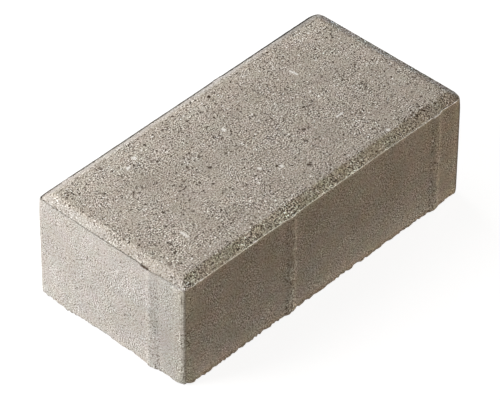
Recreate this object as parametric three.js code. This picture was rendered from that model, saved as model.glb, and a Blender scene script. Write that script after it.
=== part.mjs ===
// Rectangular concrete paving block with spacer nibs, pressed in a steel mould as one piece.
//
// Millimetres, +Z up. The origin is the middle of the underside, +X runs along the block and
// +Y across it. A section through the edge (side face, fin, slope, top face) is carried once
// round the block's outline, and the outline's own nibs fade out up that section.
import * as THREE from 'three';

// The body, measured between its side faces, without the nibs.
const LENGTH = 198;
const WIDTH = 98;
const HEIGHT = 65;
const CORNER_RADIUS = 2; // upright corners of the mould

// The slope that the press head forms round the top face.
const SLOPE_RUN = 5.3; // level distance from the fin's inner face to the top face
const SLOPE_DROP = 3.2; // from the top face down to the foot of the slope
const BROW_RADIUS = 2.5; // soft edge between the slope and the top face
const TOP_CORNER_RADIUS = 1.2; // corners of the top face, seen from above

// The thin fin squeezed up between the press head and the mould wall.
const FIN_THICKNESS = 0.5;
const FIN_HEIGHT = 0.4; // above the foot of the slope

// Spacer nibs on the side faces, which keep the joint open between laid blocks.
const NIB_BASE_DEPTH = 1; // how far a nib stands out at the underside
const NIB_TOP_DEPTH = 0.8; // and under the fin
const NIB_BASE_WIDTH = 10;
const NIB_TOP_WIDTH = 9;
const NIB_CROWN_WIDTH = 2; // the level middle, between the two flanks
const NIB_FROM_END = 19; // a nib's middle, from the right-hand corner of a long face
const NIB_FROM_MIDDLE = 25; // a second nib on the long faces, left of their middle
const NIB_FROM_SIDE = 21.5; // a nib's middle, from the right-hand corner of a short face

// Smoothness of the curves.
const CORNER_STEPS = 8;
const BROW_STEPS = 4;
const FLANK_STEPS = 6; // on each flank of a nib

const CONCRETE = new THREE.MeshStandardMaterial({
  color: new THREE.Color().setRGB(0.69, 0.66, 0.61, THREE.SRGBColorSpace),
  roughness: 0.95,
  metalness: 0,
});

// The edge section from the underside up to the top face. Each station gives how far the
// outline is inset from the side faces, its height, its corner radius, and its nibs' depth and
// width.
function edgeSection() {
  const foot = HEIGHT - SLOPE_DROP;
  const finTop = foot + FIN_HEIGHT;
  const innerCorner = CORNER_RADIUS - FIN_THICKNESS;
  const baseNib = { nib: NIB_BASE_DEPTH, nibWidth: NIB_BASE_WIDTH };
  const topNib = { nib: NIB_TOP_DEPTH, nibWidth: NIB_TOP_WIDTH };
  const stations = [
    { inset: 0, z: 0, corner: CORNER_RADIUS, ...baseNib },
    { inset: 0, z: finTop, corner: CORNER_RADIUS, ...topNib },
    { inset: FIN_THICKNESS, z: finTop, corner: innerCorner, ...topNib },
    { inset: FIN_THICKNESS, z: foot, corner: innerCorner, ...topNib },
  ];

  // An arc that touches both the slope and the top face.
  const slopeAngle = Math.atan2(SLOPE_DROP, SLOPE_RUN);
  const arcEnd = FIN_THICKNESS + SLOPE_RUN + BROW_RADIUS * Math.tan(slopeAngle / 2);
  for (let step = 0; step <= BROW_STEPS; step += 1) {
    const angle = slopeAngle * (1 - step / BROW_STEPS);
    stations.push({
      inset: arcEnd - BROW_RADIUS * Math.sin(angle),
      z: HEIGHT - BROW_RADIUS * (1 - Math.cos(angle)),
      corner: TOP_CORNER_RADIUS,
      nib: 0,
      nibWidth: NIB_TOP_WIDTH,
    });
  }
  return stations;
}

// Where the nibs sit along one side face, from its middle towards its right-hand corner.
function nibCentres(faceLength, isLongFace) {
  const middle = faceLength / 2;
  return isLongFace ? [-NIB_FROM_MIDDLE, middle - NIB_FROM_END] : [middle - NIB_FROM_SIDE];
}

// A nib's plan, about its middle: how far along the face each point is and how far it stands
// out. Each flank is half a cosine wave, up to the level crown.
function nibPlan(depth, width) {
  const flank = (width - NIB_CROWN_WIDTH) / 2;
  const climb = [];
  for (let step = 0; step <= FLANK_STEPS; step += 1) {
    const share = step / FLANK_STEPS;
    const rise = (depth * (1 - Math.cos(Math.PI * share))) / 2;
    climb.push({ along: flank * share - width / 2, rise });
  }
  const descent = climb.map(({ along, rise }) => ({ along: -along, rise })).reverse();
  return [...climb, ...descent];
}

// One closed outline, anticlockwise from above: for each side face its nibs, then the corner
// at its right-hand end.
function outline({ inset, corner, nib, nibWidth }) {
  const points = [];
  for (let side = 0; side < 4; side += 1) {
    const isLongFace = side % 2 === 0;
    const faceLength = isLongFace ? LENGTH : WIDTH;
    const faceDistance = (isLongFace ? WIDTH : LENGTH) / 2 - inset;
    const face = [];

    for (const centre of nibCentres(faceLength, isLongFace)) {
      for (const { along, rise } of nibPlan(nib, nibWidth)) {
        face.push(new THREE.Vector2(centre + along, -faceDistance - rise));
      }
    }

    const centreX = faceLength / 2 - inset - corner;
    const centreY = corner - faceDistance;
    for (let step = 0; step <= CORNER_STEPS; step += 1) {
      const angle = (Math.PI / 2) * (step / CORNER_STEPS - 1);
      const x = centreX + corner * Math.cos(angle);
      face.push(new THREE.Vector2(x, centreY + corner * Math.sin(angle)));
    }

    const origin = new THREE.Vector2();
    for (const point of face) points.push(point.rotateAround(origin, (side * Math.PI) / 2));
  }
  return points;
}

// Joins the outline of every station to the next, and closes both ends with a fan.
function carryRound(stations) {
  const positions = [];
  const indices = [];
  for (const station of stations) {
    for (const point of outline(station)) positions.push(point.x, point.y, station.z);
  }

  const count = positions.length / 3 / stations.length;
  for (let ring = 0; ring < stations.length - 1; ring += 1) {
    for (let i = 0; i < count; i += 1) {
      const low = ring * count + i;
      const lowNext = ring * count + ((i + 1) % count);
      indices.push(low, lowNext, lowNext + count, low, lowNext + count, low + count);
    }
  }

  const underside = positions.length / 3;
  const topFace = underside + 1;
  const lastRing = (stations.length - 1) * count;
  positions.push(0, 0, stations[0].z, 0, 0, stations.at(-1).z);
  for (let i = 0; i < count; i += 1) {
    const next = (i + 1) % count;
    indices.push(underside, next, i);
    indices.push(topFace, lastRing + i, lastRing + next);
  }

  const geometry = new THREE.BufferGeometry();
  geometry.setAttribute('position', new THREE.Float32BufferAttribute(positions, 3));
  geometry.setIndex(indices);
  geometry.computeVertexNormals();
  return geometry;
}

const pavingStone = new THREE.Mesh(carryRound(edgeSection()), CONCRETE);
pavingStone.name = 'paving_stone';

const block = new THREE.Group();
block.add(pavingStone);

export default block;
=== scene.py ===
import bpy
import mathutils
import numpy as np
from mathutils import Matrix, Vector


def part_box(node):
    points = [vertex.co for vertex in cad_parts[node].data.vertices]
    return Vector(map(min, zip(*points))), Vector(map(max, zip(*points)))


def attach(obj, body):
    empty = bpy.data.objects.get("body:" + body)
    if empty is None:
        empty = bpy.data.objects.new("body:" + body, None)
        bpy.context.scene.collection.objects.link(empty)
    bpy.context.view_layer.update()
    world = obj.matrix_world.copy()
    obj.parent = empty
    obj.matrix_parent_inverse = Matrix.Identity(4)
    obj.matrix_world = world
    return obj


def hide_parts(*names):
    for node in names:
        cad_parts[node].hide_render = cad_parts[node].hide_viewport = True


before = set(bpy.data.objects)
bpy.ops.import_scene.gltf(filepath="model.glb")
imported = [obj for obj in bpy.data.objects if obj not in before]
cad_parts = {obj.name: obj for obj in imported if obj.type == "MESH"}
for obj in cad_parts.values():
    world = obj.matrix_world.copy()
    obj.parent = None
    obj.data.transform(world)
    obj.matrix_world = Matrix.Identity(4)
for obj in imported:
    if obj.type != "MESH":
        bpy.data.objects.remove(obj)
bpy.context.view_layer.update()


# ---------------------------------------------------------------- the pressed block
# One piece of concrete, pressed in a steel mould and pushed out of it: smooth side faces with
# upright spacer nibs, a sloped edge round the sandy top face, and a thin fin where the press
# head met the mould wall. Lengths are millimetres, up to the material.

NODE = "paving_stone"
MM = 0.001

low, high = (np.array(corner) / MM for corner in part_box(NODE))
HEIGHT = high[2]
NIB_BASE_DEPTH = 1.0  # how far a nib stands out at the underside
NIB_TOP_DEPTH = 0.8  # and under the fin
NIB_BASE_WIDTH = 10.0
NIB_TOP_WIDTH = 9.0
NIB_CROWN_WIDTH = 2.0  # the level middle, between the two flanks
NIB_FROM_END = 19.0  # a nib's middle, from the right-hand corner of a long side
NIB_FROM_MIDDLE = 25.0  # a second nib on the long sides, left of their middle
NIB_FROM_SIDE = 21.5  # a nib's middle, from the right-hand corner of a short side
HALF_LENGTH = high[0] - NIB_BASE_DEPTH
HALF_WIDTH = high[1] - NIB_BASE_DEPTH
CORNER_RADIUS = 2.0

SLOPE_RUN = 5.3  # level distance from the fin's inner face to the top face
SLOPE_DROP = 3.2
BROW_RADIUS = 2.5  # soft edge between the slope and the top face
TOP_CORNER_RADIUS = 1.2
FIN_THICKNESS = 0.5
FIN_HEIGHT = 0.4
FOOT = HEIGHT - SLOPE_DROP
FIN_TOP = FOOT + FIN_HEIGHT

FRONT_LEFT = (-HALF_LENGTH, -HALF_WIDTH)
FRONT_RIGHT = (HALF_LENGTH, -HALF_WIDTH)
BACK_RIGHT = (HALF_LENGTH, HALF_WIDTH)
BACK_LEFT = (-HALF_LENGTH, HALF_WIDTH)
LONG_NIBS = (-NIB_FROM_MIDDLE, HALF_LENGTH - NIB_FROM_END)  # along a long side: x on the front
SHORT_NIBS = (HALF_WIDTH - NIB_FROM_SIDE,)
LEFT_NIB = -SHORT_NIBS[0]  # y of the left end's nib

# The mesh: rows down the edge, columns round the outline, and a coarser grid underneath.
STEPS_LONG = 304  # columns along a long side
STEPS_SHORT = 144
BASE_STRIDE = 4  # columns to one of the coarser underside
BROW_ROWS = 4
SLOPE_ROWS = 8
WALL_ROWS = 24
FOOT_ROW = BROW_ROWS + SLOPE_ROWS
FIN_INNER = FOOT_ROW + 1
FIN_OUTER = FIN_INNER + 1
ARRIS_ROWS = 8
ARRIS_REACH = 4.0  # how far the lower edge's wear reaches up the wall and in under the base
BASE_BORDER = 2.5  # level strip inside it, before the coarser grid
BORDER_CORNER = 0.5


def outline(inset, corner, nib, nib_width):
    """The block's outline at several heights, anticlockwise from the front left corner. Each
    input has one value for each height. Each side runs from the middle of one corner's arc to
    the middle of the next, in equal steps of arc length. A nib rises as half a cosine wave to
    its level crown. Gives x, y and the outward direction, each (heights, columns)."""
    sides = []
    for side in range(4):
        is_long = side % 2 == 0
        steps = STEPS_LONG if is_long else STEPS_SHORT
        body_half = HALF_LENGTH if is_long else HALF_WIDTH
        body_distance = HALF_WIDTH if is_long else HALF_LENGTH
        radius = corner[:, None]
        flat = body_half - inset[:, None] - radius
        travel = (2.0 * np.arange(steps) / steps - 1.0) * (flat + radius * np.pi / 4.0)
        along = np.clip(travel, -flat, flat)
        turn = (travel - along) / radius
        along = along + radius * np.sin(turn)
        out = body_distance - inset[:, None] - radius * (1.0 - np.cos(turn))

        for centre in LONG_NIBS if is_long else SHORT_NIBS:
            flank = (nib_width[:, None] - NIB_CROWN_WIDTH) / 2.0
            climb = np.clip((nib_width[:, None] / 2.0 - np.abs(along - centre)) / flank, 0.0, 1.0)
            out = out + nib[:, None] * (1.0 - np.cos(np.pi * climb)) / 2.0

        quarter = side * np.pi / 2.0
        facing = turn + quarter - np.pi / 2.0
        x = along * np.cos(quarter) + out * np.sin(quarter)
        y = along * np.sin(quarter) - out * np.cos(quarter)
        sides.append(np.stack([x, y, np.cos(facing), np.sin(facing)]))
    return np.concatenate(sides, axis=2)


def edge_section():
    """The section from the rim of the top face down the brow's arc, the straight slope, the fin
    and the wall, to where the lower edge's wear begins. Gives, with one value for each row, the
    inset, corner radius, nib depth, nib width and height."""
    angle = np.arctan2(SLOPE_DROP, SLOPE_RUN)
    rim = FIN_THICKNESS + SLOPE_RUN + BROW_RADIUS * np.tan(angle / 2.0)
    turn = np.linspace(0.0, angle, BROW_ROWS + 1)
    fall = np.linspace(0.0, 1.0, SLOPE_ROWS + 1)[1:]
    foot_radius = CORNER_RADIUS - FIN_THICKNESS
    wall_z = np.linspace(FOOT, ARRIS_REACH, WALL_ROWS + 1)
    wall_share = 1.0 - wall_z / FIN_TOP

    def down(brow, foot, fin, wall):
        """One input over the brow, in equal steps down the slope to its foot, on the fin's two
        rims, and down the wall."""
        brow = np.broadcast_to(brow, turn.shape)
        wall = np.broadcast_to(wall, wall_z.shape)
        return np.concatenate([brow, brow[-1] + (foot - brow[-1]) * fall, fin, wall])

    return (
        down(rim - BROW_RADIUS * np.sin(turn), FIN_THICKNESS, (FIN_THICKNESS, 0.0), 0.0),
        down(TOP_CORNER_RADIUS, foot_radius, (foot_radius, CORNER_RADIUS), CORNER_RADIUS),
        down(0.0, NIB_TOP_DEPTH, (NIB_TOP_DEPTH, NIB_TOP_DEPTH),
             NIB_TOP_DEPTH + (NIB_BASE_DEPTH - NIB_TOP_DEPTH) * wall_share),
        down(NIB_TOP_WIDTH, NIB_TOP_WIDTH, (NIB_TOP_WIDTH, NIB_TOP_WIDTH),
             NIB_TOP_WIDTH + (NIB_BASE_WIDTH - NIB_TOP_WIDTH) * wall_share),
        down(HEIGHT - BROW_RADIUS * (1.0 - np.cos(turn)), FOOT, (FIN_TOP, FIN_TOP), wall_z),
    )


def ring_points(inset, corner, nib, nib_width, height):
    """The section carried round the outline: points (rows, columns, 3) and their level outward
    directions."""
    x, y, out_x, out_y = outline(inset, corner, nib, nib_width)
    z = np.broadcast_to(height[:, None], x.shape)
    return np.stack([x, y, z], axis=2), np.stack([out_x, out_y, np.zeros_like(x)], axis=2)


def shares_of_sides(out):
    """How much each place belongs to the front, left, back and right side, in that order: the
    part of its outward direction that points that way."""
    ways = (-out[..., 1], -out[..., 0], out[..., 1], out[..., 0])
    return [np.clip(way, 0.0, 1.0) for way in ways]


def smoothstep(value, start, end):
    """0 at start and before it, 1 at end and past it, with 3t2 - 2t3 between. It runs downwards
    where end is less than start."""
    t = np.clip((value - start) / (end - start), 0.0, 1.0)
    return t * t * (3.0 - 2.0 * t)


def bell(value, middle, reach):
    """1 at the middle, falling off on both sides as exp(-t2)."""
    return np.exp(-(((value - middle) / reach) ** 2))


def near(points, x, y, reach):
    """A soft spot round an upright line: 1 on it, falling off as a bell of that reach."""
    return bell(np.hypot(points[..., 0] - x, points[..., 1] - y), 0.0, reach)


def cloud(points, size, seed):
    """Smooth noise from -1 to 1. Random values stand on a cubic lattice of that cell size, and
    a point blends the eight round it with smoothstep weights."""
    cells = points / size
    corner = np.floor(cells).astype(int)
    share = smoothstep(cells - corner, 0.0, 1.0)
    first = corner.min(axis=0)
    lattice = np.random.default_rng(seed).uniform(-1.0, 1.0, corner.max(axis=0) - first + 2)
    total = np.zeros(len(points))
    for step in np.ndindex(2, 2, 2):
        weight = np.prod(np.where(step, share, 1.0 - share), axis=1)
        total += weight * lattice[tuple((corner - first + step).T)]
    return total


def clouds(points, layers):
    """The sum of several clouds. Each layer has its strength, size and seed."""
    return sum(strength * cloud(points, size, seed) for strength, size, seed in layers)


edge, edge_out = ring_points(*edge_section())
edge_sides = shares_of_sides(edge_out)
edge_front, edge_left, edge_back, _ = edge_sides
up_slope = np.concatenate([
    np.ones(BROW_ROWS), np.linspace(1.0, 0.0, SLOPE_ROWS + 1), np.zeros(len(edge) - FIN_INNER)])
up_slope = up_slope[:, None]

# The press head sat a little askew: the front slope runs further in than the left end's.
FRONT_SLOPE_MORE = 0.45
LEFT_SLOPE_LESS = 0.3

askew = (FRONT_SLOPE_MORE * edge_front - LEFT_SLOPE_LESS * edge_left) * up_slope
edge -= edge_out * askew[:, :, None]

# And its foot dips, most of all along the front towards the right, though less at the nib there.
FRONT_DIP = 0.2
LEFT_DIP = 0.3
RIGHT_DIP = 0.7  # more than on the rest of the front
DIP_START, DIP_END = 35.0, 78.0  # along the front
NIB_DIP_LESS = 0.6
NIB_DIP_AT, NIB_DIP_REACH = LONG_NIBS[1] + 4.0, 5.0
DIP_LOW, DIP_HIGH = 50.0, 60.0  # the wall under the foot stretches to follow it

dip = FRONT_DIP + RIGHT_DIP * smoothstep(edge[:, :, 0], DIP_START, DIP_END)
dip -= NIB_DIP_LESS * bell(edge[:, :, 0], NIB_DIP_AT, NIB_DIP_REACH)
dip = dip * edge_front + LEFT_DIP * edge_left
edge[:, :, 2] -= dip * (1.0 - up_slope) * smoothstep(edge[:, :, 2], DIP_LOW, DIP_HIGH)
foot_line = edge[FOOT_ROW, :, 2].copy()

# The far sides' nibs fade out below the fin, and the back wall leans in a little at the top.
NIB_FADE = 14.0  # over this much of the height
BACK_LEAN = 0.35

near_top = smoothstep(edge[:, :, 2], FOOT - NIB_FADE, FOOT)
stand_out = np.abs(edge[:, :, 0]) - HALF_LENGTH
edge[:, :, 0] -= near_top * np.clip(stand_out, 0.0, None) * (edge[:, :, 0] > 0.0)
stand_out = edge[:, :, 1] - HALF_WIDTH
edge[:, :, 1] -= near_top * (np.clip(stand_out, 0.0, None) + BACK_LEAN * edge_back)

# Along the outline the fin rises, thins and breaks off. Round both front corners it is rubbed
# off, and a notch is broken out of it beside the left end's nib.
FIN_RISE = (1.0, 0.75, 0.6, 1.1)  # share of its height at the front, left, back and right
FIN_RAGGED = (0.3, 0.3, 0.22, 0.2)  # how far that share wanders, in the same order
FIN_WANDER = ((1.0, 11.0, 1), (1.0, 2.4, 2))  # layers of cloud
FRONT_NICKS = ((0.45, 1.5, 7),)
FIN_SWELLS = ((0.3, 7.0, 3), (0.45, 2.0, 4))
FIN_THINNEST, FIN_THICKEST = 0.4, 1.8  # times its thickness
RUBBED_REACH = 6.5  # round the front left corner
RIGHT_RUBBED_REACH = 3.5
NOTCH = (-HALF_LENGTH, LEFT_NIB + 5.0)
NOTCH_REACH = 2.2
NOTCH_DEPTH = 2.0  # in fin heights
INNER_SINK = 0.25  # how much of the outer rim's sinking the inner rim follows
LIP_DROP = 0.15  # least drop from the fin's outer rim to the wall
LIP_HEIGHT = 0.8  # the next row down, under the foot of the slope
# Rows, counted from the fin's inner rim: how far each moves in and up where it is rubbed off.
RUBBED_ROWS = ((-1, 0.3, 0.18), (0, 0.0, -0.05), (1, 0.15, -0.3), (2, 0.0, -0.6))

along_fin = edge[FIN_OUTER]
fin_sides = [share[FIN_OUTER] for share in edge_sides]
fin_share = sum(rise * side for rise, side in zip(FIN_RISE, fin_sides))
ragged = sum(part * side for part, side in zip(FIN_RAGGED, fin_sides))
fin_share += ragged * clouds(along_fin, FIN_WANDER) + fin_sides[0] * clouds(along_fin, FRONT_NICKS)
rubbed_off = np.maximum(
    smoothstep(near(along_fin, *FRONT_LEFT, RUBBED_REACH), 0.15, 0.5),
    near(along_fin, *FRONT_RIGHT, RIGHT_RUBBED_REACH))
fin_share *= 1.0 - rubbed_off
fin_share -= NOTCH_DEPTH * near(along_fin, *NOTCH, NOTCH_REACH)
fin_thick = np.clip(1.0 + clouds(along_fin, FIN_SWELLS), FIN_THINNEST, FIN_THICKEST)

followed = np.where(fin_share < 0.0, INNER_SINK, 1.0)
edge[FIN_OUTER, :, 2] = foot_line + FIN_HEIGHT * fin_share
edge[FIN_INNER, :, 2] = foot_line + FIN_HEIGHT * followed * fin_share
edge[FIN_OUTER + 1, :, 2] = np.minimum(foot_line, edge[FIN_OUTER, :, 2] - LIP_DROP)
edge[FIN_OUTER + 2, :, 2] = foot_line - LIP_HEIGHT
for row in (FOOT_ROW, FIN_INNER):
    edge[row] -= edge_out[row] * (FIN_THICKNESS * (fin_thick - 1.0))[:, None]
for step, inward, lift in RUBBED_ROWS:
    row = FIN_INNER + step
    edge[row] -= edge_out[row] * (inward * rubbed_off)[:, None]
    edge[row, :, 2] += lift * rubbed_off

# The upper corners are rubbed round, most of all the front left one. Each has how much is
# gone, and over what reach. The rubbing grows from one height to another.
RUBBED_LOW, RUBBED_HIGH = 54.0, 63.0
RUBBED_DOWN = 0.5  # how much lower it lies, for each millimetre further in
RUBBED_CORNERS = (
    (FRONT_LEFT, 1.4, RUBBED_REACH),
    (FRONT_RIGHT, 0.5, 3.0),
    (BACK_RIGHT, 1.0, 3.5),
    (BACK_LEFT, 0.3, 3.5),
)

for corner, depth, reach in RUBBED_CORNERS:
    taken = depth * near(edge, *corner, reach) * smoothstep(edge[:, :, 2], RUBBED_LOW, RUBBED_HIGH)
    edge -= edge_out * taken[:, :, None]
    edge[:, :, 2] -= RUBBED_DOWN * taken * (1.0 - up_slope)


WEAR_LEAST, WEAR_MOST = 0.15, 3.0
WEAR_MEAN = 1.0
LEFT_CORNER_WEAR, RIGHT_CORNER_WEAR = 1.2, 0.6  # added at the corners
CORNER_WEAR_REACH = 4.0


def wear_radius(along, out):
    """The radius of the lower edge's rounding along the outline. It wanders as two clouds do,
    is largest on the left end and at the corners, and smallest on the right of the front."""
    front, left, _, _ = shares_of_sides(out)
    wear = WEAR_MEAN - 0.5 * front + 0.35 * left
    wear += 1.1 * left * bell(along[:, 1], 12.0, 22.0)
    wear -= 0.3 * front * smoothstep(along[:, 0], 40.0, 80.0)
    wear += (0.9 - 0.5 * front) * cloud(along, 4.5, seed=5)
    wear += (0.8 + 0.7 * front) * cloud(along, 1.4, seed=6)
    to_corner = np.hypot(HALF_LENGTH - np.abs(along[:, 0]), HALF_WIDTH - np.abs(along[:, 1]))
    at_corner = np.where(along[:, 0] > 0.0, RIGHT_CORNER_WEAR, LEFT_CORNER_WEAR)
    return np.clip(wear, WEAR_LEAST, WEAR_MOST) + at_corner * bell(to_corner, 0.0, CORNER_WEAR_REACH)


def level_rings(count, inset, corner, nib):
    """That many equal rings of points on the level of the underside, and their directions."""
    stations = (inset, corner, nib, NIB_BASE_WIDTH, 0.0)
    return ring_points(*(np.full(count, value) for value in stations))


# The lower edge crumbles. A row's place on its rounding runs from -1, up the wall, to 1, in
# under the base. Past the rounding the rows go straight on.
place = np.linspace(-1.0, 1.0, 2 * ARRIS_ROWS + 1)[1:]
arris, arris_out = level_rings(len(place), 0.0, CORNER_RADIUS, NIB_BASE_DEPTH)
wear = wear_radius(arris[0], arris_out[0])
distance = place[:, None] * ARRIS_REACH
turn = np.pi / 4.0 * (1.0 + np.clip(distance / wear, -1.0, 1.0))
inward = np.where(distance > wear, distance, wear * (1.0 - np.cos(turn)))
upward = np.where(distance < -wear, -distance, wear * (1.0 - np.sin(turn)))
arris[:, :, 2] = upward
arris -= arris_out * inward[:, :, None]

border, _ = level_rings(1, ARRIS_REACH + BASE_BORDER, BORDER_CORNER, 0.0)
border = border[0, ::BASE_STRIDE]


def four_sides(ring, long_steps, short_steps):
    """A ring that starts at its front left corner, cut into its front, right, back and left
    sides, each with both its corners. Front and back run to the right, the others to the back."""
    closed = np.concatenate([ring, ring[:1]])
    corners = np.cumsum([0, long_steps, short_steps, long_steps, short_steps])
    front, right, back, left = (closed[a : b + 1] for a, b in zip(corners, corners[1:]))
    return front, right, back[::-1], left[::-1]


def coons_patch(ring, long_steps, short_steps):
    """Fills a four-sided ring: the sum of the straight blends between opposite sides, less the
    blend of the four corners. Only inner points."""
    front, right, back, left = four_sides(ring, long_steps, short_steps)
    u = np.linspace(0.0, 1.0, long_steps + 1)[None, 1:-1, None]
    v = np.linspace(0.0, 1.0, short_steps + 1)[1:-1, None, None]
    across = (1 - v) * front[None, 1:-1] + v * back[None, 1:-1]
    along = (1 - u) * left[1:-1, None] + u * right[1:-1, None]
    front_line = (1 - u) * front[0] + u * front[-1]
    back_painted_shade = (1 - u) * back[0] + u * back[-1]
    return (across + along - (1 - v) * front_line - v * back_painted_shade).reshape(-1, 3)


TOP_STEPS = (STEPS_LONG, STEPS_SHORT)
BASE_STEPS = (STEPS_LONG // BASE_STRIDE, STEPS_SHORT // BASE_STRIDE)

rings = np.concatenate([edge, arris])
top_inside = coons_patch(rings[0], *TOP_STEPS)
base_inside = coons_patch(border, *BASE_STEPS)
points = np.concatenate([rings.reshape(-1, 3), top_inside, border, base_inside])


def grid_quads(index):
    """One quad to each cell of a grid of vertex numbers."""
    corners = [index[:-1, :-1], index[:-1, 1:], index[1:, 1:], index[1:, :-1]]
    return np.stack(corners, axis=2).reshape(-1, 4)


def patch_index(ring, inside, long_steps, short_steps):
    """The vertex numbers of a filled ring, as a grid with the front side as its first row."""
    index = np.empty((short_steps + 1, long_steps + 1), int)
    index[0], index[:, -1], index[-1], index[:, 0] = four_sides(ring, long_steps, short_steps)
    index[1:-1, 1:-1] = inside.reshape(short_steps - 1, long_steps - 1)
    return index


ring_index, top_numbers, border_index, base_numbers = np.split(
    np.arange(len(points)),
    np.cumsum([rings.shape[0] * rings.shape[1], len(top_inside), len(border)]))
ring_index = ring_index.reshape(rings.shape[:2])
wall_index = np.concatenate([ring_index, ring_index[:, :1]], axis=1)[::-1]
top_index = patch_index(ring_index[0], top_numbers, *TOP_STEPS)
base_index = patch_index(border_index, base_numbers, *BASE_STEPS)
quads = np.concatenate([
    grid_quads(top_index), grid_quads(wall_index), grid_quads(base_index)[:, ::-1]])

# The strip that joins the fine ring under the base to the coarse grid: one face with
# BASE_STRIDE + 3 corners to each coarse step.
fine = np.append(ring_index[-1], ring_index[-1, 0])
coarse = np.append(border_index, border_index[0])
steps = np.arange(len(border_index))
fine_run = fine[steps[:, None] * BASE_STRIDE + np.arange(BASE_STRIDE, -1, -1)]
joins = np.concatenate([fine_run, coarse[steps][:, None], coarse[steps + 1][:, None]], axis=1)


def build_mesh(name, points, quads, joins):
    """Fills a mesh with whole arrays of points, quads and larger faces."""
    mesh = bpy.data.meshes.new(name)
    mesh.vertices.add(len(points))
    mesh.vertices.foreach_set("co", (points * MM).ravel())
    mesh.loops.add(quads.size + joins.size)
    mesh.loops.foreach_set("vertex_index", np.concatenate([quads.ravel(), joins.ravel()]))
    mesh.polygons.add(len(quads) + len(joins))
    starts = np.concatenate([
        np.arange(len(quads)) * quads.shape[1],
        quads.size + np.arange(len(joins)) * joins.shape[1],
    ])
    mesh.polygons.foreach_set("loop_start", starts)
    mesh.update(calc_edges=True)
    mesh.validate()
    return mesh


mesh = build_mesh("paving_stone_cast", points, quads, joins)
normals = np.empty(len(points) * 3, np.float32)
mesh.vertex_normals.foreach_get("vector", normals)
normals = normals.reshape(-1, 3).astype(float)

# How far each point is smooth mould skin: 1 on the walls, 0 on the open sandy top. On the
# slope, skin was left at the back, at the right, and on the far half of the left end.
slope_rows = slice(BROW_ROWS, FIN_INNER)
slope = edge[slope_rows]
_, slope_left, slope_back, slope_right = shares_of_sides(edge_out[slope_rows])
slope_skin = 0.1 + 0.85 * slope_back + 0.4 * slope_right
slope_skin += slope_left * (0.2 + 0.6 * smoothstep(slope[:, :, 1], -25.0, 25.0))
slope_skin += 0.6 * near(slope, *FRONT_RIGHT, 4.5) + 0.5 * near(slope, *BACK_RIGHT, 6.0)
down_slope = 1.0 - up_slope[slope_rows]

ring_skin = np.zeros(edge.shape[:2])
ring_skin[slope_rows] = smoothstep(down_slope, 0.0, 0.4) * np.minimum(slope_skin, 0.95)
ring_skin[FIN_INNER:] = 1.0
arris_skin = np.broadcast_to(0.75 - 0.25 * place[:, None], arris.shape[:2])
base_skin = np.full(len(border) + len(base_inside), 0.4)
skin_of_point = np.concatenate([
    ring_skin.ravel(), arris_skin.ravel(), np.zeros(len(top_inside)), base_skin])


def nearest_grain(points, size, seed):
    """Scatters one centre in each cube of that size. Gives each point's distance to the nearest
    centre, and that centre's own number from 0 to 1."""
    cells = points / size
    corner = np.floor(cells).astype(int)
    first = corner.min(axis=0) - 1
    shape = (*(corner.max(axis=0) - first + 2), 4)
    centres = np.random.default_rng(seed).uniform(0.0, 1.0, shape)
    distance = np.full(len(points), np.inf)
    number = np.zeros(len(points))
    for step in np.ndindex(3, 3, 3):
        cube = corner + np.array(step) - 1
        centre = centres[tuple((cube - first).T)]
        away = np.linalg.norm(cube + centre[:, :3] - cells, axis=1)
        nearer = away < distance
        distance[nearer] = away[nearer]
        number[nearer] = centre[nearer, 3]
    return distance * size, number


SANDY_SWELLS = ((0.10, 30.0, 11), (0.07, 9.0, 12))  # layers of cloud
COARSE_GRAIN, COARSE_HEIGHT = 2.3, 0.08
FINE_GRAIN, FINE_HEIGHT = 1.3, 0.15
LOWEST_GRAIN = 0.4  # a grain's own height is this plus its number
PIT_FLOOR, PIT_RIM = 0.24, 1.04  # radii
PIT_DEPTH = 0.45
TORN_OUT = 0.9  # coarse grains with a higher number are gone
SKIN_SWELLS = ((0.07, 26.0, 21), (0.02, 6.0, 22), (0.015, 2.4, 24))
DRAG_MARKS = ((0.015, 1.6, 23),)
DRAG_STRETCH = 0.06  # heights count this much, so that the marks run upright
RUBBLE = ((0.22, 3.0, 31), (0.16, 1.4, 32))


def sandy_relief(points):
    """Height of the open, sandy surface: low swells, rounded grains of two sizes that stand
    proud round their centres, and pits where single grains were torn out. Gives the height, and
    how deep each point lies in a pit, from 0 to 1."""
    height = clouds(points, SANDY_SWELLS)
    coarse, coarse_number = nearest_grain(points, COARSE_GRAIN, seed=13)
    fine, fine_number = nearest_grain(points, FINE_GRAIN, seed=14)
    height += COARSE_HEIGHT * (0.5 - coarse / COARSE_GRAIN) * (LOWEST_GRAIN + coarse_number)
    height += FINE_HEIGHT * (0.5 - fine / FINE_GRAIN) * (LOWEST_GRAIN + fine_number)
    pit = np.clip((PIT_RIM - coarse) / (PIT_RIM - PIT_FLOOR), 0.0, 1.0) * (coarse_number > TORN_OUT)
    return height - PIT_DEPTH * pit, pit


def skin_relief(points):
    """Height of the smooth mould skin: low swells, faint upright drag marks left as the block
    was pushed out of the mould, and a fine roughness."""
    upright = points * np.array([1.0, 1.0, DRAG_STRETCH])
    return clouds(points, SKIN_SWELLS) + clouds(upright, DRAG_MARKS)


def crumbled(points):
    """How far the broken ground of the lower edge and of the rubbed corner reaches, 0 to 1."""
    low_edge = smoothstep(points[:, 2], 4.0, 0.5)
    corner_top = smoothstep(points[:, 2], 59.0, 63.0) * near(points, *FRONT_LEFT, RUBBED_REACH)
    return np.maximum(low_edge, smoothstep(corner_top, 0.1, 0.6))


# The near upright arris lost its skin near the top, and is worn down, most of all at its foot.
ARRIS_WEAR = 0.65
ARRIS_FOOT_WEAR = 1.0

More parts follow.
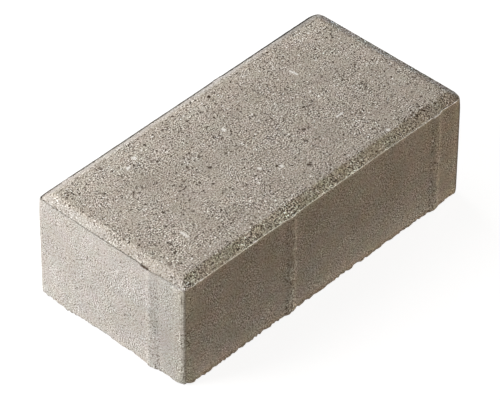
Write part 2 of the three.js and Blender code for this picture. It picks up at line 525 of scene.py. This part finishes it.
facing_left = -normals[:, 0]
bare_top = smoothstep(points[:, 2], 48.0, 59.0) * near(points, *FRONT_LEFT, 5.0)
bare_top *= smoothstep(facing_left, 0.6, 0.9)
bare_arris = (facing_left > 0.5) * near(points, *FRONT_LEFT, 3.0)
skin_of_point *= (1.0 - 0.85 * bare_top) * (1.0 - 0.4 * bare_arris)

sandy, pit_of_point = sandy_relief(points)
smooth = skin_relief(points)
for centre in LONG_NIBS:  # the front's nibs came out smoother
    smooth *= 1.0 - 0.6 * (points[:, 1] < -40.0) * bell(points[:, 0], centre, 6.0)
relief = sandy + (smooth - sandy) * skin_of_point
relief += crumbled(points) * clouds(points, RUBBLE)

# A quarter of the open surface comes up to the press plate, and the rest lies lower.
relief -= np.percentile(relief[skin_of_point == 0.0], 75.0)
near_arris = near(points, *FRONT_LEFT, 3.2) * smoothstep(points[:, 2], 62.0, 57.0)
near_foot = smoothstep(points[:, 2], 9.0, 0.0)
relief -= near_arris * (ARRIS_WEAR + ARRIS_FOOT_WEAR * near_foot)

# Nothing stands out past the solid's box: the press plate and the mould held it back.
points = np.clip(points + normals * relief[:, None], low, high)
mesh.vertices.foreach_set("co", (points * MM).ravel())
mesh.update()
mesh.polygons.foreach_set("use_smooth", np.ones(len(mesh.polygons), bool))


def from_rings(values):
    """Values on the rings, (rows, columns) or (rows, 1), as one for each point of the mesh. The
    points inside the top and under the base get 0."""
    spread = np.broadcast_to(values, rings.shape[:2]).ravel()
    return np.concatenate([spread, np.zeros(len(points) - spread.size)])


rings_out = np.concatenate([edge_out, arris_out])
front, left, back, right = (from_rings(share) for share in shares_of_sides(rings_out))
x, y, z = points.T
rows = np.arange(len(rings))[:, None]

on_top = 1.0 - np.clip(front + left + back + right, 0.0, 1.0)
on_slope = from_rings(smoothstep(rows, 1.0, BROW_ROWS + 1.0) * (rows < FIN_INNER))
at_foot = from_rings(rows == FOOT_ROW)
on_fin = from_rings((rows == FIN_INNER) | (rows == FIN_OUTER))
at_lip = from_rings(rows == FIN_OUTER + 1)
on_wall = from_rings(rows > FIN_OUTER)
turned_under = np.concatenate([np.zeros(len(edge)), smoothstep(place * ARRIS_REACH, -0.7, 0.7)])
turned_under = from_rings(turned_under[:, None])
far_corner = near(points, *BACK_RIGHT, 5.0)

DARKEST_TONE = 0.15

# The walls' tone isn't even. Some bands are painted light and shade, as marked below, and the arrises
# are paler, partly rubbed and partly painted light.
# First the bands in which a wall is paler, or darker: its side, the coordinate across the band,
# the band's middle and reach, and how much paler.
wall_bands = (
    (front, z, 0.0, 5.5, 0.36),  # painted bounce light from the floor at the foot, with a paler and a darker line in it
    (front, z, 3.0, 0.9, 0.09),
    (front, z, 1.4, 0.7, -0.13),
    *((front, x, nib + 2.2, 1.6, 0.22) for nib in LONG_NIBS),  # painted highlights on their right-hand flanks, which face the light
    *((front, x, nib - 1.8, 2.6, -0.08) for nib in LONG_NIBS),  # and painted shade on their left-hand flanks
    (front, x, HALF_LENGTH - 4.3, 1.0, 0.16),  # a painted highlight on the arris, and painted shade where it turns away
    (front, x, HALF_LENGTH - 1.1, 0.9, -0.6),
    (left, z, 0.0, 9.0, 0.07),  # painted bounce light from the floor at the foot
    (left, y, 0.0, 14.0, 0.05),  # the middle of the end face
    (left, y, LEFT_NIB - 2.5, 1.8, 0.12),  # painted highlight on the nib's near flank, which faces the light, and painted shade on its crown
    (left, y, LEFT_NIB - 0.3, 1.5, -0.13),
    (left, y, LEFT_NIB - 10.5, 4.0, -0.05),  # between the nib and the near arris
)
# Then the stretches along which a wall gets paler or darker bit by bit: the side, the
# coordinate, where the change starts and ends, and how much paler the wall is from there on.
wall_stretches = (
    (front, x, 84.0, 98.0, 0.10),
    (front, x, -60.0, -88.0, 0.07),
    (left, y, LEFT_NIB + 0.5, LEFT_NIB + 7.5, -0.03),
)

wall_tone_and_painted_light = np.zeros(len(points))
for side, across, middle, reach, paler in wall_bands:
    wall_tone_and_painted_light += paler * side * bell(across, middle, reach)
for side, along, start, end, paler in wall_stretches:
    wall_tone_and_painted_light += paler * side * smoothstep(along, start, end)
# Paler round the upright arrises: partly rubbed cement, partly painted light that lifts the shade the
# lamps leave on their rounding.
for corner in (FRONT_LEFT, FRONT_RIGHT, BACK_LEFT):
    wall_tone_and_painted_light += 0.14 * near(points, *corner, 1.8)
wall_tone_and_painted_light += 0.12 * near(points, *FRONT_LEFT, 6.0)

# The near part of the left end is darker half-way up, and so is the front apart from its right
# end. Round the right arris the wall is painted almost black: painted shade where it turns away from
# the light.
up_wall = smoothstep(z, 5.0, 14.0) * smoothstep(z, 60.0, 54.0)
wall_tone_and_painted_light -= 0.09 * left * up_wall * smoothstep(y, LEFT_NIB + 7.5, LEFT_NIB + 0.5)
wall_tone_and_painted_light -= 0.12 * front * bell(z, 34.0, 24.0) * smoothstep(x, 80.0, 50.0)
wall_tone_and_painted_light -= 1.6 * right * near(points, *FRONT_RIGHT, 3.0)

# A pale strip runs along the back of the top face, and there are pale patches at both ends.
top_tone = bell(y, 40.0, 11.0) * (0.05 + 0.07 * smoothstep(x, -60.0, 20.0))
top_tone += 0.08 * near(points, -90.0, -32.0, 26.0) + 0.05 * smoothstep(x, 75.0, 92.0)

# The slope is darker towards the right, partly painted shade where it turns away from the lamps. The
# crease at its foot along the back and the left end is painted dark, painted shade in the crease. Both
# fade at the corner between back and right.
slope_tone_and_shade = 0.02 * left - 0.05 * front * smoothstep(x, -50.0, 0.0)
slope_tone_and_shade += back * (0.05 - 0.3 * bell(x, 83.0, 15.0)) + 0.12 * near(points, *BACK_RIGHT, 7.0)
slope_tone_and_shade -= 0.28 * right * smoothstep(x, 92.5, 97.5) * (1.0 - 0.6 * far_corner)
back_painted_shade = (0.35 + 0.3 * smoothstep(x, 0.0, 80.0)) * back * (1.0 - 0.9 * far_corner)
left_painted_shade = 0.3 * smoothstep(y, -28.0, -18.0)
left_painted_shade += 0.15 * smoothstep(y, -47.0, -42.0) * smoothstep(y, -18.0, -28.0)
foot_painted_shade = -back_painted_shade - left * left_painted_shade

# Along the front the fin and the wall just under it are painted pale, a painted highlight where the fin
# catches the light.
# The far fins are painted dark, painted shade on their inner faces.
fin_highlight_and_shade = front * (0.42 + 0.5 * cloud(points, 1.6, seed=41) + 0.15 * smoothstep(x, 40.0, 60.0))
fin_highlight_and_shade -= 1.4 * back_painted_shade + 0.35 * right * (1.0 - 0.9 * far_corner)
lip_highlight = 0.2 * front * (1.0 - near(points, *FRONT_LEFT, 6.0))

# The tone: the cement's own paler and darker parts, and the painted light and shade marked above.
tone_and_painted_light = 1.0 + on_top * top_tone + on_slope * slope_tone_and_shade + at_foot * foot_painted_shade
tone_and_painted_light += on_fin * fin_highlight_and_shade + at_lip * lip_highlight + on_wall * wall_tone_and_painted_light
# Painted shade where the lower edge turns in under the base, most along the front.
tone_and_painted_light -= turned_under * (0.5 * front + 0.25 * left)
tone_and_painted_light = np.maximum(tone_and_painted_light, DARKEST_TONE)

# How strong the grain shows: most of all on the slope at the right end, then along the front,
# and least at the upright arrises. Fewer pores show on the front and at the near arris.
wall_grain = 0.62 * front + 0.1 * left
slope_grain = 0.6 * front * (1.0 - 0.7 * smoothstep(x, 0.0, 80.0)) + 1.7 * right - 0.15 * left
coarse_of_point = 1.0 + on_wall * wall_grain + on_slope * slope_grain
for corner in (FRONT_LEFT, FRONT_RIGHT, BACK_RIGHT, BACK_LEFT):
    coarse_of_point *= 1.0 - 0.6 * on_wall * near(points, *corner, 2.0)
coarse_of_point *= 1.0 - 0.6 * on_wall * near(points, *FRONT_LEFT, 5.5) * smoothstep(z, 44.0, 52.0)
pitted_of_point = (1.0 - 0.6 * front * on_wall) * (1.0 - 0.8 * near(points, *FRONT_LEFT, 5.0))

# Cement with an olive cast shows along the front slope. On the walls at the near arris the tint is
# painted warm light.
olive_cast_and_warm_light = (on_slope + on_fin) * front * smoothstep(x, -97.0, -88.0)
olive_cast_and_warm_light *= 1.0 - 0.9 * smoothstep(x, 45.0, 85.0)
olive_cast_and_warm_light += 0.7 * on_wall * near(points, *FRONT_LEFT, 8.0)


def along_lines(points, lines):
    """1 close to any of the short lines, with soft rims. Each line has its two ends and a
    reach: x, y, x, y, reach."""
    share = np.zeros(len(points))
    for from_x, from_y, to_x, to_y, reach in lines:
        start = np.array([from_x, from_y])
        way = np.array([to_x, to_y]) - start
        step = np.clip((points[:, :2] - start) @ way / (way @ way), 0.0, 1.0)
        away = np.linalg.norm(points[:, :2] - start - step[:, None] * way, axis=1)
        share = np.maximum(share, 1.0 - smoothstep(away, reach * 0.6, reach * 1.4))
    return share


# Single pale grains and slivers of shell that lie open on the top, and two on the front lip.
PALE_GRAINS = (
    (-48.9, 33.3, -48.3, 33.3, 0.95),
    (-56.4, 30.0, -55.4, 30.3, 0.85),
    (-3.3, 16.9, -3.3, 16.3, 0.95),
    (-3.7, -22.2, -3.7, -22.8, 0.85),
    (-12.5, -15.5, -12.3, -16.1, 0.85),
    (-71.7, -20.6, -71.7, -25.0, 0.6),
    (52.2, 23.9, 52.8, 19.5, 0.6),
    (42.0, -16.7, 46.0, -16.7, 0.6),
    (51.7, -41.4, 52.0, -42.0, 0.9),
    (-87.6, -48.6, -86.6, -48.6, 0.6),
    (-50.4, -48.4, -49.6, -48.6, 0.7),
)
# Dark holes, painted shade: the ground of the fin's notch, and where large grains fell out of the top.
DARK_HOLES = (
    (-98.9, -24.5, -98.9, -21.0, 0.9),
    (-88.6, 38.4, -88.2, 38.2, 0.5),
    (-90.2, 36.9, -89.9, 36.7, 0.5),
    (-87.4, 36.6, -87.2, 36.9, 0.5),
    (-28.6, 2.0, -28.0, 1.6, 0.8),
    (6.0, -31.2, 6.6, -31.8, 0.9),
    (23.5, -11.5, 23.9, -11.9, 0.8),
)
HOLE_SHADE = 1.3  # darker than the pits

above = z > FOOT - LIP_HEIGHT
pale_of_point = along_lines(points, PALE_GRAINS) * above
hole_of_point = HOLE_SHADE * along_lines(points, DARK_HOLES) * above
# The cavity darkens the mesh's pits and the dark holes: painted shade.
cavity_of_point = np.maximum(pit_of_point * (1.0 - skin_of_point), hole_of_point)


def store(name, values):
    """Keeps one number for each point, for the material to read."""
    mesh.attributes.new(name, "FLOAT", "POINT").data.foreach_set("value", values.astype(np.float32))


store("skin", skin_of_point)
store("cavity", cavity_of_point)
store("tone", tone_and_painted_light)
store("coarse", coarse_of_point)
store("pitted", pitted_of_point)
store("pale", pale_of_point)
store("olive", olive_cast_and_warm_light)

stone = bpy.data.objects.new("paving_stone_cast", mesh)
bpy.context.scene.collection.objects.link(stone)


# The concrete: grey cement with sand in it, dry and matt. Lengths in the material are metres.


def node(tree, kind, values=None, **settings):
    """Adds a node; values go to its inputs by name or number, as links or as plain values."""
    made = tree.nodes.new(kind)
    for name, value in settings.items():
        setattr(made, name, value)
    for name, value in (values or {}).items():
        if isinstance(value, bpy.types.NodeSocket):
            tree.links.new(value, made.inputs[name])
        else:
            made.inputs[name].default_value = value
    return made


def maths(tree, operation, *values):
    """One Math node's result."""
    return node(tree, "ShaderNodeMath", dict(enumerate(values)), operation=operation).outputs[0]


def vector_maths(tree, operation, *values):
    """One Vector Math node's result, a vector or a colour."""
    return node(
        tree, "ShaderNodeVectorMath", dict(enumerate(values)), operation=operation).outputs[0]


def scaled(tree, vector, factor):
    """A vector or a colour times a number."""
    return node(
        tree, "ShaderNodeVectorMath", {0: vector, "Scale": factor}, operation="SCALE").outputs[0]


def mixed(tree, share, first, second):
    """Two colours mixed by a share. The Mix node's colours are its inputs 6 and 7."""
    return node(
        tree, "ShaderNodeMix", {0: share, 6: first, 7: second}, data_type="RGBA").outputs[2]


def between(tree, share, first, second):
    """A number that goes from first to second with the share."""
    return maths(tree, "MULTIPLY_ADD", share, second - first, first)


def ramp(tree, value, start, end, interpolation="LINEAR"):
    """0 up to start and 1 from end on, or the other way about where end is less than start."""
    return node(tree, "ShaderNodeMapRange", {
        "Value": value, "From Min": start, "From Max": end},
        interpolation_type=interpolation).outputs[0]


def swing(tree, tone, contrast):
    """A tone from 0 to 1, centred on 0 and scaled."""
    return maths(tree, "MULTIPLY", maths(tree, "SUBTRACT", tone, 0.5), contrast)


def colour_swing(tree, colour):
    """A colour whose channels go from 0 to 1, centred on 0."""
    return vector_maths(tree, "SUBTRACT", colour, (0.5, 0.5, 0.5))


def noise(tree, vector, scale, detail):
    """A Noise Texture's outputs, Fac and Color."""
    return node(tree, "ShaderNodeTexNoise", {
        "Vector": vector, "Scale": scale, "Detail": detail}).outputs


def kept_value(tree, name):
    """What the mesh keeps under that name."""
    return node(tree, "ShaderNodeAttribute", attribute_name=name).outputs["Fac"]


def effect(name, takes, gives):
    """An empty node group with named number inputs and outputs, and a vector input."""
    group = bpy.data.node_groups.new(name, "ShaderNodeTree")
    group.interface.new_socket("Vector", in_out="INPUT", socket_type="NodeSocketVector")
    for socket in takes:
        group.interface.new_socket(socket, in_out="INPUT", socket_type="NodeSocketFloat")
    for socket in gives:
        group.interface.new_socket(socket, in_out="OUTPUT", socket_type="NodeSocketFloat")
    return group, node(group, "NodeGroupInput").outputs, node(group, "NodeGroupOutput")


def use(tree, group, **values):
    """Places a node group with these inputs, and gives its outputs."""
    return node(tree, "ShaderNodeGroup", values, node_tree=group).outputs


def grain_group():
    """Packed grains of about one size: each grain has its own tone, and stands proud."""
    group, takes, gives = effect("packed_grains", ["Size"], ["Tone", "Height"])
    scale = maths(group, "DIVIDE", 1.0, takes["Size"])
    cells = node(group, "ShaderNodeTexVoronoi", {"Vector": takes["Vector"], "Scale": scale})
    tone = node(group, "ShaderNodeSeparateColor", {0: cells.outputs["Color"]}).outputs[0]
    group.links.new(tone, gives.inputs["Tone"])
    group.links.new(maths(group, "SUBTRACT", 1.0, cells.outputs["Distance"]), gives.inputs["Height"])
    return group


def speck_group(name, dimensions):
    """Single specks, scattered one to a cell in a share of the cells, with soft rims. In two
    dimensions the cells are upright columns, so that every speck on the top shows in full."""
    group, takes, gives = effect(name, ["Spacing", "Radius", "Share"], ["Mask"])
    scale = maths(group, "DIVIDE", 1.0, takes["Spacing"])
    cells = node(group, "ShaderNodeTexVoronoi", {
        "Vector": takes["Vector"], "Scale": scale}, voronoi_dimensions=dimensions)
    number = node(group, "ShaderNodeSeparateColor", {0: cells.outputs["Color"]}).outputs[1]
    reach = maths(group, "MULTIPLY", takes["Radius"], scale)
    core = maths(group, "MULTIPLY", reach, 0.8)
    inside = ramp(group, cells.outputs["Distance"], reach, core, "SMOOTHSTEP")
    chosen = maths(group, "LESS_THAN", number, takes["Share"])
    group.links.new(maths(group, "MULTIPLY", inside, chosen), gives.inputs["Mask"])
    return group


def crevice_group():
    """Dark lines between packed grains, broken up by noise so that only short curves are left."""
    group, takes, gives = effect("short_crevices", ["Size", "Width", "Threshold"], ["Mask"])
    scale = maths(group, "DIVIDE", 1.0, takes["Size"])
    lines = node(group, "ShaderNodeTexVoronoi", {
        "Vector": takes["Vector"], "Scale": scale}, feature="DISTANCE_TO_EDGE")
    half = maths(group, "MULTIPLY", takes["Width"], scale)
    inside = ramp(group, lines.outputs["Distance"], half, maths(group, "MULTIPLY", half, 0.4))
    broken = noise(group, takes["Vector"], maths(group, "MULTIPLY", scale, 0.9), 1.0)["Fac"]
    kept = ramp(group, broken, takes["Threshold"], maths(group, "ADD", takes["Threshold"], 0.08))
    group.links.new(maths(group, "MULTIPLY", inside, kept), gives.inputs["Mask"])
    return group


TOP_CEMENT = (0.436, 0.388, 0.332, 1.0)
SKIN_CEMENT = (0.422, 0.389, 0.353, 1.0)
OLIVE = (0.985, 1.0, 0.92, 1.0)
WHITE = (1.0, 1.0, 1.0, 1.0)
QUARTZ = (0.85, 0.82, 0.775, 1.0)
PIT_SHADE = (0.038, 0.017, 0.005, 1.0)
DARKEST = (0.06, 0.05, 0.04)

concrete = bpy.data.materials.new("concrete")
concrete.use_nodes = True
tree = concrete.node_tree
tree.nodes.clear()
on_block = node(tree, "ShaderNodeTexCoord").outputs["Object"]
skin_share = kept_value(tree, "skin")
coarse_share = kept_value(tree, "coarse")
open_share = maths(tree, "SUBTRACT", 1.0, skin_share)

# Rougher and smoother patches, and a small wobble that makes round specks uneven.
PATCHES = 85.0  # a metre
SMOOTHEST, ROUGHEST = 0.36, 0.64  # levels of the noise
WOBBLES = 900.0
WOBBLE_REACH = 0.0012

rough_patch = ramp(tree, noise(tree, on_block, PATCHES, 2.0)["Fac"], SMOOTHEST, ROUGHEST)
wobble = colour_swing(tree, noise(tree, on_block, WOBBLES, 0.0)["Color"])
uneven = vector_maths(tree, "MULTIPLY_ADD", wobble, (WOBBLE_REACH,) * 3, on_block)

# The grain's tone: packed dust, and flecks whose contrast grows towards their darkest and
# palest. The half step lays the top and the sides on planes of the noise's lattice, so that
# the flecks look alike on all of them.
DUST_SIZE = 0.00048
DUST_TOP, DUST_SKIN = 0.4, 0.35  # contrast on the open top, and on the skin
FLECKS = 1500.0  # a metre
HALF_FLECK = 0.5 / FLECKS
FLECK_TOP, FLECK_SKIN = 3.0, 1.85
BENT_TOP, BENT_SKIN = 22.0, 10.0  # what it gains, times the fleck's tone squared
PATCH_LEAST, PATCH_GAIN = 0.56, 0.72  # contrast, and what rough patches add
STAINS = 45.0  # a metre
STAIN_CONTRAST = 0.45

dust = use(tree, grain_group(), Vector=on_block, Size=DUST_SIZE)
dust_tone = swing(tree, dust["Tone"], between(tree, skin_share, DUST_TOP, DUST_SKIN))
settled = vector_maths(tree, "ADD", on_block, (HALF_FLECK,) * 3)
fleck = maths(tree, "SUBTRACT", noise(tree, settled, FLECKS, 0.0)["Fac"], 0.5)
steepness = maths(
    tree, "MULTIPLY_ADD", maths(tree, "MULTIPLY", fleck, fleck),
    between(tree, skin_share, BENT_TOP, BENT_SKIN), between(tree, skin_share, FLECK_TOP, FLECK_SKIN))
grain = maths(tree, "ADD", dust_tone, maths(tree, "MULTIPLY", fleck, steepness))
patch_contrast = maths(tree, "MULTIPLY_ADD", rough_patch, PATCH_GAIN, PATCH_LEAST)
grain = maths(tree, "MULTIPLY", maths(tree, "MULTIPLY", grain, patch_contrast), coarse_share)
stain = swing(tree, noise(tree, on_block, STAINS, 4.0)["Fac"], STAIN_CONTRAST)
grain = maths(tree, "ADD", grain, stain)

# The cement's colour: it wanders a little in hue, more where the grain is coarse. Pale grains
# are greyer than the rest, and dark ones browner.
HUES = 120.0  # a metre
HUE_LEAN = (0.11, 0.05, 0.09)
HUE_MOST = 2.6  # times that lean
GREY_LEAN = (-0.06, 0.0, 0.06)
DARK_LEAN = 1.7  # how much more the dark side leans

# The kept tone brings the painted light and shade along with the cement's own tone.
cement = scaled(tree, mixed(tree, skin_share, TOP_CEMENT, SKIN_CEMENT), kept_value(tree, "tone"))
# The olive cast, which at the near arris is painted warm light.
cast = mixed(tree, kept_value(tree, "olive"), WHITE, OLIVE)
cement = vector_maths(tree, "MULTIPLY", cement, cast)
hue_reach = maths(tree, "MINIMUM", maths(tree, "POWER", coarse_share, 2.0), HUE_MOST)
hue = scaled(tree, colour_swing(tree, noise(tree, on_block, HUES, 2.0)["Color"]), hue_reach)
hue = vector_maths(tree, "MULTIPLY", hue, HUE_LEAN)
cement = vector_maths(tree, "MULTIPLY_ADD", cement, hue, cement)
brown = maths(tree, "MULTIPLY_ADD", maths(tree, "MINIMUM", grain, 0.0), DARK_LEAN, grain)
cement = vector_maths(tree, "MULTIPLY_ADD", cement, scaled(tree, GREY_LEAN, brown), cement)
cement = scaled(tree, cement, maths(tree, "ADD", grain, 1.0))
cement = vector_maths(tree, "MAXIMUM", cement, DARKEST)

# Hollows: dents, pinholes, holes and short crevices between the grains of the open surface,
# round air pores in the skin, and the mesh's own pits.
# Their near-black colour, PIT_SHADE, is painted shade in the hollows, on top of their bump.
DENTS_LEAST, DENTS_GAIN = 0.03, 0.16  # share of the cells, and what rough patches add
PINHOLE_SHADE = 0.95
CAVITY_SHADE = 0.7

top_specks = speck_group("scattered_top_specks", "2D")
specks = speck_group("scattered_specks", "3D")
dents = use(tree, top_specks, Vector=uneven, Spacing=0.0021, Radius=0.00036,
            Share=maths(tree, "MULTIPLY_ADD", rough_patch, DENTS_GAIN, DENTS_LEAST))["Mask"]
pinholes = use(tree, top_specks, Vector=on_block, Spacing=0.0013, Radius=0.00034, Share=0.1)["Mask"]
holes = use(tree, top_specks, Vector=uneven, Spacing=0.0026, Radius=0.00046, Share=0.16)["Mask"]
crevices = use(tree, crevice_group(), Vector=on_block, Size=0.0016, Width=0.0002, Threshold=0.8)["Mask"]
pores = use(tree, specks, Vector=on_block, Spacing=0.0019, Radius=0.00041, Share=0.28)["Mask"]

hollow = maths(tree, "MAXIMUM", dents, maths(tree, "MULTIPLY", pinholes, PINHOLE_SHADE))
hollow = maths(tree, "MAXIMUM", maths(tree, "MAXIMUM", hollow, holes), crevices)
pored_share = maths(tree, "MULTIPLY", skin_share, kept_value(tree, "pitted"))
skin_hollow = maths(tree, "MULTIPLY", pores, pored_share)
hollow = maths(tree, "ADD", maths(tree, "MULTIPLY", hollow, open_share), skin_hollow)
cavity = maths(tree, "MULTIPLY", kept_value(tree, "cavity"), CAVITY_SHADE)
hollow = maths(tree, "MAXIMUM", hollow, cavity)

# Pale grains: quartz in the open surface, fainter glints in the skin, and the single ones.
GLINT_SHARE = 0.5

quartz = use(tree, top_specks, Vector=uneven, Spacing=0.0029, Radius=0.00045, Share=0.13)["Mask"]
glints = use(tree, specks, Vector=uneven, Spacing=0.0023, Radius=0.00036, Share=0.2)["Mask"]
pale = maths(tree, "ADD", maths(tree, "MULTIPLY", quartz, open_share),
             maths(tree, "MULTIPLY", glints, maths(tree, "MULTIPLY", skin_share, GLINT_SHARE)))
pale = maths(tree, "MAXIMUM", pale, kept_value(tree, "pale"))

# The surface: the dust stands proud and the hollows lie deep, less so on the skin.
BUMP_DEPTH = 0.0004
BUMP_TOP, BUMP_SKIN = 0.95, 0.25
DUST_HEIGHT = 0.8  # in bump depths
HOLLOW_DEPTH = 1.4
ROUGHNESS = 0.92
SPECULAR = 0.3

height = maths(tree, "SUBTRACT", maths(tree, "MULTIPLY", dust["Height"], DUST_HEIGHT),
               maths(tree, "MULTIPLY", hollow, HOLLOW_DEPTH))
bump = node(tree, "ShaderNodeBump", {
    "Height": height, "Distance": BUMP_DEPTH,
    "Strength": between(tree, skin_share, BUMP_TOP, BUMP_SKIN)})
# Painted shade: the hollows turn near black.
colour = mixed(tree, hollow, cement, PIT_SHADE)
colour = mixed(tree, pale, colour, QUARTZ)
surface = node(tree, "ShaderNodeBsdfPrincipled", {
    "Base Color": colour, "Roughness": ROUGHNESS, "Specular IOR Level": SPECULAR,
    "Normal": bump.outputs[0]})
node(tree, "ShaderNodeOutputMaterial", {"Surface": surface.outputs[0]})

mesh.materials.append(concrete)
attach(stone, "root")
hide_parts(NODE)


# ---------------------------------------------------------------- floor, light and camera
# A pale studio floor, which reads as white to the camera and keeps the block's shadow, soft
# lamps to the left, behind and to the right, a warm fill in front, and the camera above the
# front left corner. Lengths are metres.

FLOOR_HALF = 3.0
FLOOR_DROP = 0.0002  # keeps the floor clear of the underside
FLOOR_PAINT = (0.25, 0.25, 0.25, 1.0)
FLOOR_GLOW = 0.88
SKY = 0.20

floor_mesh = bpy.data.meshes.new("studio_floor")
floor_mesh.from_pydata(
    [(x * FLOOR_HALF, y * FLOOR_HALF, -FLOOR_DROP) for x, y in ((-1, -1), (1, -1), (1, 1), (-1, 1))],
    [], [(0, 1, 2, 3)])
floor = bpy.data.objects.new("studio_floor", floor_mesh)
bpy.context.scene.collection.objects.link(floor)

# The paper glows only for the camera and in mirrors, so it lights nothing by itself.
paper = bpy.data.materials.new("studio_paper")
paper.use_nodes = True
tree = paper.node_tree
tree.nodes.clear()
ray = node(tree, "ShaderNodeLightPath").outputs
seen = maths(tree, "MAXIMUM", ray["Is Camera Ray"],
             maths(tree, "MAXIMUM", ray["Is Glossy Ray"], ray["Is Transmission Ray"]))
matt = node(tree, "ShaderNodeBsdfDiffuse", {"Color": FLOOR_PAINT})
glow = node(tree, "ShaderNodeEmission", {"Strength": maths(tree, "MULTIPLY", seen, FLOOR_GLOW)})
both = node(tree, "ShaderNodeAddShader", {0: matt.outputs[0], 1: glow.outputs[0]})
node(tree, "ShaderNodeOutputMaterial", {"Surface": both.outputs[0]})
floor_mesh.materials.append(paper)

# The sky is white to the camera, and dim as a light.
world = bpy.data.worlds.new("studio")
bpy.context.scene.world = world
world.use_nodes = True
tree = world.node_tree
tree.nodes.clear()
ray = node(tree, "ShaderNodeLightPath").outputs
level = node(tree, "ShaderNodeMix", {0: ray["Is Camera Ray"], 2: SKY, 3: 1.0})
sky = node(tree, "ShaderNodeBackground", {"Strength": level.outputs[0]})
node(tree, "ShaderNodeOutputWorld", {"Surface": sky.outputs[0]})


def soft_lamp(name, azimuth, elevation, distance, size, brightness, colour):
    """A square lamp that shines on the block. Its azimuth turns from the left end (0) towards
    the back (90), in degrees. Its brightness is that of a white matt surface that faces it in
    the block's middle: P / (pi2 d2) for a small lamp of power P at distance d."""
    turn, rise = np.radians(azimuth), np.radians(elevation)
    direction = np.array([-np.cos(turn) * np.cos(rise), np.sin(turn) * np.cos(rise), np.sin(rise)])
    lamp = bpy.data.lights.new(name, "AREA")
    lamp.size = size
    lamp.color = colour
    lamp.energy = brightness * np.pi ** 2 * distance ** 2
    holder = bpy.data.objects.new(name, lamp)
    holder.location = direction * distance
    holder.rotation_euler = (np.arccos(direction[2]), 0.0, np.arctan2(direction[0], -direction[1]))
    holder.visible_camera = False
    bpy.context.scene.collection.objects.link(holder)


NEUTRAL = (1.0, 1.0, 1.0)
WARM = (1.0, 0.69, 0.34)
NEAR_LAMP = {"distance": 0.65, "size": 0.30}
FAR_LAMP = {"distance": 1.2, "size": 0.5}

soft_lamp("left_low", 30.0, 8.0, brightness=1.11, colour=NEUTRAL, **NEAR_LAMP)
soft_lamp("left_high", 30.0, 50.0, brightness=0.458, colour=NEUTRAL, **NEAR_LAMP)
soft_lamp("back", 105.0, 45.0, brightness=0.366, colour=NEUTRAL, **NEAR_LAMP)
soft_lamp("right", 180.0, 30.0, brightness=0.133, colour=NEUTRAL, **FAR_LAMP)
soft_lamp("front_fill", -115.0, 12.0, brightness=0.209, colour=WARM, **FAR_LAMP)

# A pale blue card on the floor, which throws light up on the foot of the shaded long face.
CARD_LENGTH = 0.19
CARD_WIDTH = 0.032
CARD_GAP = 0.004
CARD_LIFT = 0.0005
CARD_SHINE = 0.37  # its own brightness
CARD_COLOUR = (0.84, 0.95, 1.0)

card = bpy.data.lights.new("floor_card", "AREA")
card.shape = "RECTANGLE"
card.color = CARD_COLOUR
card.size = CARD_LENGTH
card.size_y = CARD_WIDTH
card.energy = CARD_SHINE * np.pi * CARD_LENGTH * CARD_WIDTH
card_holder = bpy.data.objects.new("floor_card", card)
card_holder.location = (0.0, -HALF_WIDTH * MM - CARD_GAP - CARD_WIDTH / 2.0, CARD_LIFT)
card_holder.rotation_euler = (np.pi, 0.0, 0.0)
card_holder.visible_camera = False
bpy.context.scene.collection.objects.link(card_holder)

CAMERA_AZIMUTH = np.radians(-47.018)
CAMERA_ELEVATION = np.radians(41.106)
CAMERA_ROLL = np.radians(0.372)
CAMERA_DISTANCE = 1.929
CAMERA_REACH = 20.0  # how far it sees
AIM = np.array([0.0, 0.0, 0.030])
OFFSET_RIGHT = -0.00130  # of the camera from the line of its aim
OFFSET_UP = -0.00198
FOCAL_PIXELS = 3923.0
PICTURE_WIDTH = 500.0  # pixels
SENSOR = 36.0

sin_a, cos_a = np.sin(CAMERA_AZIMUTH), np.cos(CAMERA_AZIMUTH)
sin_e, cos_e = np.sin(CAMERA_ELEVATION), np.cos(CAMERA_ELEVATION)
backward = np.array([sin_a * cos_e, -cos_a * cos_e, sin_e])
rightward = np.array([cos_a, sin_a, 0.0])
upward = np.cross(backward, rightward)
camera_place = AIM + backward * CAMERA_DISTANCE + rightward * OFFSET_RIGHT + upward * OFFSET_UP
camera_axes = (
    rightward * np.cos(CAMERA_ROLL) + upward * np.sin(CAMERA_ROLL),
    upward * np.cos(CAMERA_ROLL) - rightward * np.sin(CAMERA_ROLL),
    backward,
    camera_place,
)
camera_data = bpy.data.cameras.new("camera")
camera_data.sensor_fit = "HORIZONTAL"
camera_data.sensor_width = SENSOR
camera_data.lens = FOCAL_PIXELS / PICTURE_WIDTH * SENSOR
camera_data.clip_end = CAMERA_REACH
camera = bpy.data.objects.new("camera", camera_data)
camera.matrix_world = mathutils.Matrix([*map(tuple, np.transpose(camera_axes)), (0, 0, 0, 1)])
bpy.context.scene.collection.objects.link(camera)
bpy.context.scene.camera = camera
bpy.context.scene.view_settings.view_transform = "Standard"
